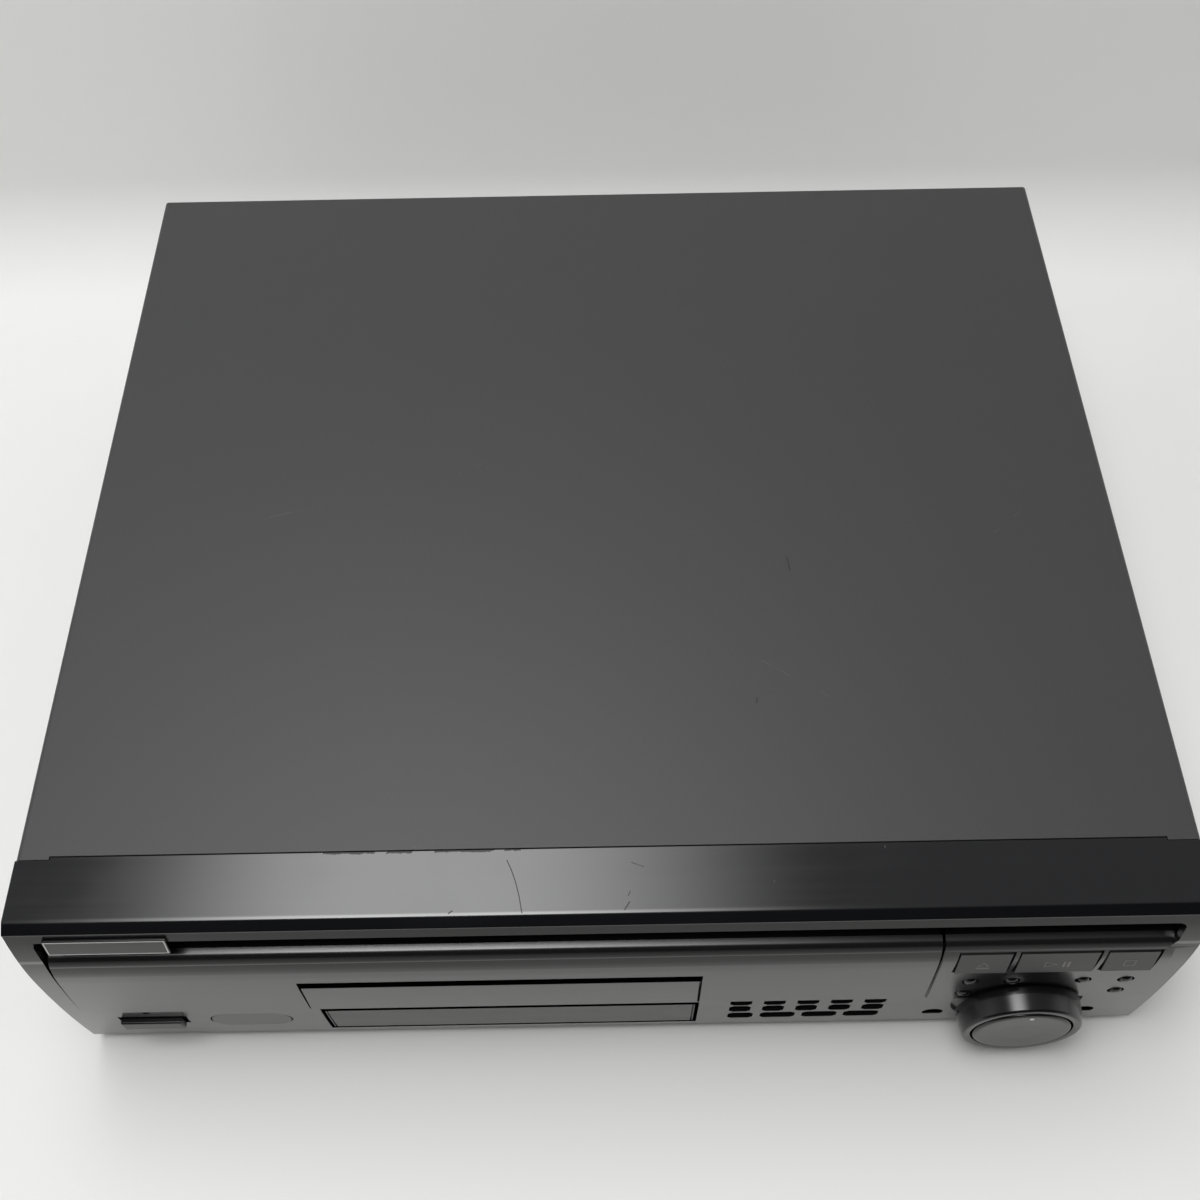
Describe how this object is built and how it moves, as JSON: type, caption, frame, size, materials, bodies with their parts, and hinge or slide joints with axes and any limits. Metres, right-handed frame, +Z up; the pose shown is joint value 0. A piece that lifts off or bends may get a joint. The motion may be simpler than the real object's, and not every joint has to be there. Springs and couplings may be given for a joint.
{
  "type": "laserdisc player",
  "caption": "Front-loading laserdisc player with a wide motor-driven disc tray, a curved front with keys and a two-part knob, and a folded steel case.",
  "frame": {"origin": "on the shelf, under the middle of the player's outer box", "axes": "+X to the right seen from the front, -Y towards the viewer, +Z up"},
  "size_m": [0.424, 0.39, 0.118],
  "materials": {
    "cover_paint": "fine matt black-grey paint on steel",
    "zinc_steel": "zinc-plated sheet steel",
    "rear_paint": "black paint on steel",
    "screw_black": "black oxide screws",
    "trim_gloss": "gloss black with a fine hairline grain",
    "front_plastic": "satin black moulding",
    "button_plastic": "gloss black buttons",
    "knob_plastic": "satin black knob",
    "window_smoke": "smoked window",
    "plate_black": "blank plates",
    "led_red": "dark red lamp lens",
    "foot_rubber": "black feet",
    "inner_plastic": "dark grey inner mouldings",
    "gear_plastic": "white acetal",
    "belt_rubber": "drive belt",
    "turntable_metal": "turned aluminium",
    "mat_rubber": "rubber ring",
    "motor_steel": "plated motor cans and rods",
    "lens_glass": "coated lens",
    "board_green": "printed circuit boards",
    "part_black": "moulded electronic parts",
    "display_glass": "display tube",
    "heat_aluminium": "extruded aluminium",
    "core_iron": "laminated core",
    "ribbon_grey": "flat cable"
  },
  "bodies": {
    "case": {"ac_inlet": "part_black", "badge_plate": "plate_black", "base_pan": "zinc_steel", "blanking_plate": "plate_black", "capacitors": "part_black", "cover_screws": "screw_black", "display_module": "display_glass", "display_window": "window_smoke", "feet": "foot_rubber", "front_board": "board_green", "front_panel": "front_plastic", "heat_sink": "heat_aluminium", "jack_board": "board_green", "key_switches": "part_black", "knob_encoder": "part_black", "loading_belt": "belt_rubber", "loading_motor": "motor_steel", "main_board": "board_green", "mechanism_chassis": "inner_plastic", "output_jacks": "part_black", "power_board": "board_green", "power_transformer": "core_iron", "rear_panel": "rear_paint", "ribbon_cable": "ribbon_grey", "spindle_motor": "motor_steel", "standby_led": "led_red", "top_cover": "cover_paint", "top_trim": "trim_gloss"},
    "lift_frame": {"tray_guides": "inner_plastic"},
    "lift_cam": {"lift_cam": "zinc_steel"},
    "tray": {"disc_tray": "inner_plastic", "tray_front": "front_plastic"},
    "drive_gear": {"drive_gear": "gear_plastic"},
    "pulley_gear": {"pulley_gear": "gear_plastic"},
    "motor_pulley": {"motor_pulley": "gear_plastic"},
    "turntable": {"turntable": "turntable_metal", "turntable_mat": "mat_rubber"},
    "clamp_arm": {"clamp_arm": "zinc_steel"},
    "clamper": {"clamper": "gear_plastic"},
    "tilt_frame": {"tilt_frame": "inner_plastic", "guide_rods": "motor_steel", "feed_motor": "motor_steel"},
    "feed_gear": {"feed_gear": "gear_plastic"},
    "pickup": {"pickup_carriage": "inner_plastic", "lens_unit": "inner_plastic", "objective_lens": "lens_glass"},
    "shuttle_ring": {"shuttle_ring": "knob_plastic"},
    "jog_dial": {"jog_dial": "knob_plastic"},
    "power_button": {"power_button": "button_plastic"},
    "open_key": {"open_key": "front_plastic"},
    "play_key": {"play_key": "front_plastic"},
    "stop_key": {"stop_key": "front_plastic"},
    "chapter_back_button": {"chapter_back_button": "button_plastic"},
    "chapter_next_button": {"chapter_next_button": "button_plastic"},
    "scan_back_button": {"scan_back_button": "button_plastic"},
    "scan_next_button": {"scan_next_button": "button_plastic"},
    "display_button": {"display_button": "button_plastic"},
    "repeat_button": {"repeat_button": "button_plastic"},
    "side_button_left": {"side_button_left": "button_plastic"},
    "side_button_right": {"side_button_right": "button_plastic"}
  },
  "joints": [
    {"name": "tray_lift", "type": "slide", "parent": "case", "child": "lift_frame", "axis": [0, 0, 1], "range_m": [0, 0.008]},
    {"name": "cam_slide", "type": "slide", "parent": "case", "child": "lift_cam", "axis": [0, 1, 0], "range_m": [0, 0.0162]},
    {"name": "tray_slide", "type": "slide", "parent": "lift_frame", "child": "tray", "axis": [0, -1, 0], "range_m": [0, 0.285]},
    {"name": "drive_gear_turn", "type": "hinge", "parent": "case", "child": "drive_gear", "pos_m": [0.095, -0.146, 0.064], "axis": [0, 0, 1], "range_deg": [-1558, 2]},
    {"name": "pulley_gear_turn", "type": "hinge", "parent": "case", "child": "pulley_gear", "pos_m": [0.071, -0.146, 0.062], "axis": [0, 0, 1], "range_deg": [-2, 4668]},
    {"name": "motor_pulley_turn", "type": "hinge", "parent": "case", "child": "motor_pulley", "pos_m": [0.04, -0.146, 0.058], "axis": [0, 0, 1], "range_deg": [-5, 18812]},
    {"name": "spindle_turn", "type": "hinge", "parent": "case", "child": "turntable", "pos_m": [-0.04175, -0.008, 0.085], "axis": [0, 0, 1], "continuous": true},
    {"name": "clamp_lift", "type": "hinge", "parent": "case", "child": "clamp_arm", "pos_m": [-0.04175, 0.162, 0.1045], "axis": [-1, 0, 0], "range_deg": [0, 2.3]},
    {"name": "clamper_turn", "type": "hinge", "parent": "clamp_arm", "child": "clamper", "pos_m": [-0.04175, -0.008, 0.1], "axis": [0, 0, 1], "continuous": true},
    {"name": "pickup_tilt", "type": "hinge", "parent": "case", "child": "tilt_frame", "pos_m": [-0.04175, 0, 0.062], "axis": [1, 0, 0], "range_deg": [-1.2, 1.2]},
    {"name": "pickup_slide", "type": "slide", "parent": "tilt_frame", "child": "pickup", "axis": [0, 1, 0], "range_m": [-0.02, 0.1]},
    {"name": "feed_gear_turn", "type": "hinge", "parent": "tilt_frame", "child": "feed_gear", "pos_m": [-0.07175, 0.039, 0.049], "axis": [1, 0, 0], "range_deg": [-717, 144]},
    {"name": "power_button_press", "type": "slide", "parent": "case", "child": "power_button", "axis": [0, 1, 0], "range_m": [0, 0.0015], "stiffness_N_per_m": 600, "springref_m": -0.0005},
    {"name": "open_key_press", "type": "slide", "parent": "case", "child": "open_key", "axis": [0, 1, 0], "range_m": [0, 0.001], "stiffness_N_per_m": 600, "springref_m": -0.0005},
    {"name": "play_key_press", "type": "slide", "parent": "case", "child": "play_key", "axis": [0, 1, 0], "range_m": [0, 0.001], "stiffness_N_per_m": 600, "springref_m": -0.0005},
    {"name": "stop_key_press", "type": "slide", "parent": "case", "child": "stop_key", "axis": [0, 1, 0], "range_m": [0, 0.001], "stiffness_N_per_m": 600, "springref_m": -0.0005},
    {"name": "chapter_back_button_press", "type": "slide", "parent": "case", "child": "chapter_back_button", "axis": [0, 1, 0], "range_m": [0, 0.001], "stiffness_N_per_m": 600, "springref_m": -0.0005},
    {"name": "chapter_next_button_press", "type": "slide", "parent": "case", "child": "chapter_next_button", "axis": [0, 1, 0], "range_m": [0, 0.001], "stiffness_N_per_m": 600, "springref_m": -0.0005},
    {"name": "scan_back_button_press", "type": "slide", "parent": "case", "child": "scan_back_button", "axis": [0, 1, 0], "range_m": [0, 0.001], "stiffness_N_per_m": 600, "springref_m": -0.0005},
    {"name": "scan_next_button_press", "type": "slide", "parent": "case", "child": "scan_next_button", "axis": [0, 1, 0], "range_m": [0, 0.001], "stiffness_N_per_m": 600, "springref_m": -0.0005},
    {"name": "display_button_press", "type": "slide", "parent": "case", "child": "display_button", "axis": [0, 1, 0], "range_m": [0, 0.001], "stiffness_N_per_m": 600, "springref_m": -0.0005},
    {"name": "repeat_button_press", "type": "slide", "parent": "case", "child": "repeat_button", "axis": [0, 1, 0], "range_m": [0, 0.001], "stiffness_N_per_m": 600, "springref_m": -0.0005},
    {"name": "side_button_left_press", "type": "slide", "parent": "case", "child": "side_button_left", "axis": [0, 1, 0], "range_m": [0, 0.001], "stiffness_N_per_m": 600, "springref_m": -0.0005},
    {"name": "side_button_right_press", "type": "slide", "parent": "case", "child": "side_button_right", "axis": [0, 1, 0], "range_m": [0, 0.001], "stiffness_N_per_m": 600, "springref_m": -0.0005},
    {"name": "shuttle_turn", "type": "hinge", "parent": "case", "child": "shuttle_ring", "pos_m": [0.158, -0.19, 0.0345], "axis": [0, -1, 0], "range_deg": [-70, 70], "stiffness_Nm_per_rad": 0.03},
    {"name": "jog_turn", "type": "hinge", "parent": "case", "child": "jog_dial", "pos_m": [0.158, -0.192, 0.0345], "axis": [0, -1, 0], "continuous": true}
  ],
  "couplings": [
    {"joint": "cam_slide", "follows": "tray_lift", "ratio": 2},
    {"joint": "drive_gear_turn", "follows": "tray_slide", "rad_per_m": -95.238},
    {"joint": "pulley_gear_turn", "follows": "tray_slide", "rad_per_m": 285.71},
    {"joint": "motor_pulley_turn", "follows": "tray_slide", "rad_per_m": 1151.5},
    {"joint": "feed_gear_turn", "follows": "pickup_slide", "rad_per_m": -125}
  ]
}
